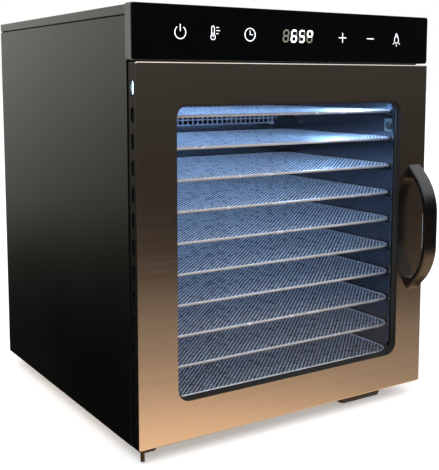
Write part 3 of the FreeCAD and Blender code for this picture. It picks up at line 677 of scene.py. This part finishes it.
SIGNS = {
    "power_sign": power_sign,
    "heat_sign": heat_sign,
    "clock_sign": clock_sign,
    "plus_sign": plus_sign,
    "minus_sign": minus_sign,
    "lamp_sign": lamp_sign,
}
for sign_name, draw in SIGNS.items():
    sign = bmesh.new()
    draw(sign)
    add_piece(sign_name, finish_mesh(sign_name, sign), icon_white, "cabinet")

# ------------------------------------------------------------ display digits

DIGIT_PITCH = 9.6
DIGIT_WIDTH = 5.6
DIGIT_HEIGHT = 10.6
DIGIT_SLANT = 0.1
SEGMENT = 1.5
SEGMENT_GAP = 0.25
DISPLAY_CENTRE = 177.5
SEGMENTS = {
    "a": ((0, 2), (1, 2)),
    "b": ((1, 2), (1, 1)),
    "c": ((1, 1), (1, 0)),
    "d": ((0, 0), (1, 0)),
    "e": ((0, 1), (0, 0)),
    "f": ((0, 2), (0, 1)),
    "g": ((0, 1), (1, 1)),
}
DIGITS = ("", "acdefg", "acdfg", "abfg")


def segment_outline(ends, centre):
    """A six-sided bar between two of a digit's corners, slanted like the digit."""
    corners = []
    for column, row in ends:
        z = (row - 1) * DIGIT_HEIGHT / 2
        corners.append(Vector(((column - 0.5) * DIGIT_WIDTH, z)))
    run = (corners[1] - corners[0]).normalized()
    side = Vector((-run.y, run.x)) * SEGMENT / 2
    start = corners[0] + run * SEGMENT_GAP
    end = corners[1] - run * SEGMENT_GAP
    tip = run * SEGMENT / 2
    outline = []
    for place in (start, start + tip - side, end - tip - side, end, end - tip + side, start + tip + side):
        outline.append(panel_point(centre + place.x + place.y * DIGIT_SLANT, place.y))
    return outline


lit = bmesh.new()
unlit = bmesh.new()
for position, shown in enumerate(DIGITS):
    centre = DISPLAY_CENTRE + (position - (len(DIGITS) - 1) / 2) * DIGIT_PITCH
    for letter, ends in SEGMENTS.items():
        target = lit if letter in shown else unlit
        add_prism(target, segment_outline(ends, centre), INK_FRONT, INK_BACK)
add_piece("digits_lit", finish_mesh("digits_lit", lit), digit_white, "cabinet")
# The unlit segments carry the faint painted glow.
add_piece("digits_unlit", finish_mesh("digits_unlit", unlit), digit_unlit, "cabinet")

# ------------------------------------------------------------ light that leaks out of the door's edge

SLOT_PITCH = 23.4 * MM
SLOT_GAPS = 13
FIRST_SLOT = 23.2 * MM
GLOW_HALF = (0.5 * MM, 1.6 * MM, 6.2 * MM)
GLOW_INSET = 0.7 * MM
slot_middle = (DOOR_LOW.y + DOOR_HIGH.y) / 2
top_slot = DOOR_LOW.z + FIRST_SLOT + SLOT_GAPS * SLOT_PITCH
glow = bmesh.new()
bmesh.ops.create_uvsphere(glow, u_segments=24, v_segments=16, radius=1.0)
stretch = Matrix.Diagonal((*GLOW_HALF, 1))
bmesh.ops.transform(glow, matrix=stretch, verts=glow.verts)
bmesh.ops.translate(glow, vec=(DOOR_LOW.x + GLOW_INSET, slot_middle, top_slot), verts=glow.verts)
glow_mesh = finish_mesh("edge_light", glow)
glow_mesh.shade_smooth()
add_piece("edge_light", glow_mesh, slot_glow, "door")

# ------------------------------------------------------------ staging: floor, reflections, lamps


def stage_material(name, colour, strength):
    material = bpy.data.materials.new(name)
    material.use_nodes = True
    shader = material.node_tree.nodes["Principled BSDF"]
    shader.inputs["Base Color"].default_value = (*colour, 1)
    shader.inputs["Roughness"].default_value = 0.9
    shader.inputs["Emission Color"].default_value = (*colour, 1)
    shader.inputs["Emission Strength"].default_value = strength
    return material


def add_floor():
    bpy.ops.mesh.primitive_plane_add(size=40, location=(0, 0, 0))
    floor = bpy.context.object
    floor.name = "floor"
    floor.data.materials.append(stage_material("floor_paper", (0.92, 0.92, 0.92), 0.3))
    floor.visible_glossy = False
    floor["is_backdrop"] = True


DOME_RADIUS = 8.0
FRONT_TONES = [
    (-90, (0.7, 0.5, 0.32)),
    (-28, (1.8, 1.16, 0.68)),
    (-22.5, (1.45, 0.95, 0.58)),
    (-20.0, (0.5, 0.36, 0.24)),
    (-18.5, (0.36, 0.265, 0.19)),
    (-15, (0.42, 0.31, 0.225)),
    (-12.5, (0.05, 0.038, 0.028)),
    (-6, (0.032, 0.024, 0.019)),
    (2, (0.055, 0.048, 0.042)),
    (16, (0.08, 0.07, 0.063)),
    (24, (1.7, 1.7, 1.75)),
    (90, (1.8, 1.8, 1.8)),
]
SIDE_TONES = [
    (-90, (0.02, 0.02, 0.02)),
    (-16, (0.008, 0.008, 0.007)),
    (-10, (0.03, 0.03, 0.027)),
    (-6, (0.25, 0.24, 0.21)),
    (-2, (0.34, 0.33, 0.3)),
    (6, (0.6, 0.6, 0.56)),
    (15, (0.72, 0.72, 0.68)),
    (40, (0.8, 0.82, 0.84)),
    (90, (1.0, 1.0, 1.0)),
]
TURN_REACH = 0.15
DIM_START = -0.46
DIM_END = -0.3
DIM_TONE = 0.55
MIX_FIRST_COLOUR = 6
MIX_SECOND_COLOUR = 7
MIX_COLOUR_OUT = 2


def add_reflection_room():
    """A round room that only reflections see: warm table in front, dark walls, pale ceiling."""
    bpy.ops.mesh.primitive_uv_sphere_add(
        segments=64, ring_count=48, radius=DOME_RADIUS, location=(0, 0, 0)
    )
    dome = bpy.context.object
    dome.name = "reflection_room"
    material = bpy.data.materials.new("reflection_room")
    material.use_nodes = True
    tree = material.node_tree
    tree.nodes.clear()
    place = tree.nodes.new("ShaderNodeTexCoord").outputs["Object"]
    split = tree.nodes.new("ShaderNodeSeparateXYZ")
    tree.links.new(place, split.inputs["Vector"])

    def spread(axis, low, high, dimmest=0.0):
        """A direction's component mapped from a range onto dimmest to 1."""
        node = tree.nodes.new("ShaderNodeMapRange")
        node.inputs["From Min"].default_value = low * DOME_RADIUS
        node.inputs["From Max"].default_value = high * DOME_RADIUS
        node.inputs["To Min"].default_value = dimmest
        tree.links.new(split.outputs[axis], node.inputs["Value"])
        return node.outputs["Result"]

    def ramp(stops):
        """Colours against the height of the direction, from straight down to straight up."""
        node = tree.nodes.new("ShaderNodeValToRGB")
        elements = node.color_ramp.elements
        for index, (degrees, colour) in enumerate(stops):
            position = (math.sin(math.radians(degrees)) + 1) / 2
            element = elements[index] if index < 2 else elements.new(position)
            element.position = position
            element.color = (*colour, 1)
        tree.links.new(spread("Z", -1, 1), node.inputs["Fac"])
        return node.outputs["Color"]

    shaded = tree.nodes.new("ShaderNodeVectorMath")
    shaded.operation = "SCALE"
    tree.links.new(ramp(SIDE_TONES), shaded.inputs[0])
    tree.links.new(spread("X", DIM_START, DIM_END, DIM_TONE), shaded.inputs["Scale"])
    mix = tree.nodes.new("ShaderNodeMix")
    mix.data_type = "RGBA"
    tree.links.new(spread("Y", -TURN_REACH, TURN_REACH), mix.inputs["Factor"])
    tree.links.new(ramp(FRONT_TONES), mix.inputs[MIX_FIRST_COLOUR])
    tree.links.new(shaded.outputs["Vector"], mix.inputs[MIX_SECOND_COLOUR])
    light = tree.nodes.new("ShaderNodeEmission")
    light.inputs["Strength"].default_value = 1.0
    tree.links.new(mix.outputs[MIX_COLOUR_OUT], light.inputs["Color"])
    output = tree.nodes.new("ShaderNodeOutputMaterial")
    tree.links.new(light.outputs["Emission"], output.inputs["Surface"])
    dome.data.materials.append(material)
    dome.visible_camera = False
    dome.visible_diffuse = False
    dome.visible_transmission = False
    dome.visible_volume_scatter = False
    dome.visible_shadow = False
    dome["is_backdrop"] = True


def add_area(name, place, target, size, power, colour=(1, 1, 1)):
    data = bpy.data.lights.new(name, "AREA")
    data.shape = "RECTANGLE"
    data.size, data.size_y = size
    data.energy = power
    data.color = colour
    lamp = bpy.data.objects.new(name, data)
    lamp.location = place
    lamp.rotation_euler = (Vector(target) - Vector(place)).to_track_quat("-Z", "Y").to_euler()
    lamp.visible_camera = False
    bpy.context.scene.collection.objects.link(lamp)
    return lamp


def add_world():
    world = bpy.data.worlds.new("world")
    world.use_nodes = True
    world.node_tree.nodes["Background"].inputs["Color"].default_value = (1, 1, 1, 1)
    world.node_tree.nodes["Background"].inputs["Strength"].default_value = 1.0
    bpy.context.scene.world = world


add_floor()
add_reflection_room()
add_world()
for studio_lamp in (
    add_area("key", (-1.6, -1.6, 2.4), (0, 0, 0.2), (1.6, 1.6), 30),
    add_area("fill", (2.2, -1.4, 1.6), (0, 0, 0.2), (1.6, 1.6), 14, (1.0, 0.92, 0.85)),
):
    studio_lamp.visible_glossy = False

LIGHT_BLUE = (0.3, 0.54, 1.0)
LIGHT_WARM = (1.0, 0.95, 0.92)
LENS_SIZE = (0.058, 0.016)
LED_SIZE = (0.28, 0.04)
LED_RISE = 0.1
LED_SETBACK = 30 * MM
LED_SHIFT = -0.05
WINDOW_LIGHT_PLACE = (-0.5, -1.1, 0.75)
WINDOW_LIGHT_SIZE = (0.8, 0.5)
CHAMBER_LOW, CHAMBER_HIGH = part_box("inner_left_wall")
WINDOW_MIDDLE = (PANE_LOW + PANE_HIGH) / 2
lens_middle = (LENS_LOW + LENS_HIGH) / 2
lamp_place = (lens_middle.x, lens_middle.y, LENS_LOW.z - 1 * MM)
lamp_target = (lens_middle.x - 0.05, lens_middle.y + 0.03, 0)
add_area("chamber_lamp", lamp_place, lamp_target, LENS_SIZE, 0.6, LIGHT_BLUE)


def lit_group(name, prefixes):
    """Collection of the pieces whose names start with a prefix, for a lamp that lights only these."""
    group = bpy.data.collections.new(name)
    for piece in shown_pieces():
        if piece.name.startswith(prefixes):
            group.objects.link(piece)
    return group


def add_chamber_light(name, place, target, size, power, colour, group):
    """A lamp that stands for light which reaches the chamber's pieces past each other."""
    lamp = add_area(name, place, target, size, power, colour)
    lamp.light_linking.receiver_collection = group
    lamp.data.use_shadow = False
    return lamp


tray_group = lit_group("tray_group", ("tray_", "fan_guard", "temperature_probe"))
wall_group = lit_group("wall_group", ("tray_", "fan_", "temperature_probe", "inner_"))
led_place = (LED_SHIFT, CHAMBER_LOW.y + LED_SETBACK, CHAMBER_HIGH.z + LED_RISE)
led_target = (0, ((CHAMBER_LOW + CHAMBER_HIGH) / 2).y, 0)
add_chamber_light("led_bar", led_place, led_target, LED_SIZE, 1.8, LIGHT_BLUE, wall_group)
add_chamber_light(
    "window_light", WINDOW_LIGHT_PLACE, WINDOW_MIDDLE, WINDOW_LIGHT_SIZE, 5.5, LIGHT_WARM, tray_group
)

bpy.context.scene.view_settings.view_transform = "Standard"


def corners(box):
    return [list(box[0]), list(box[1])]
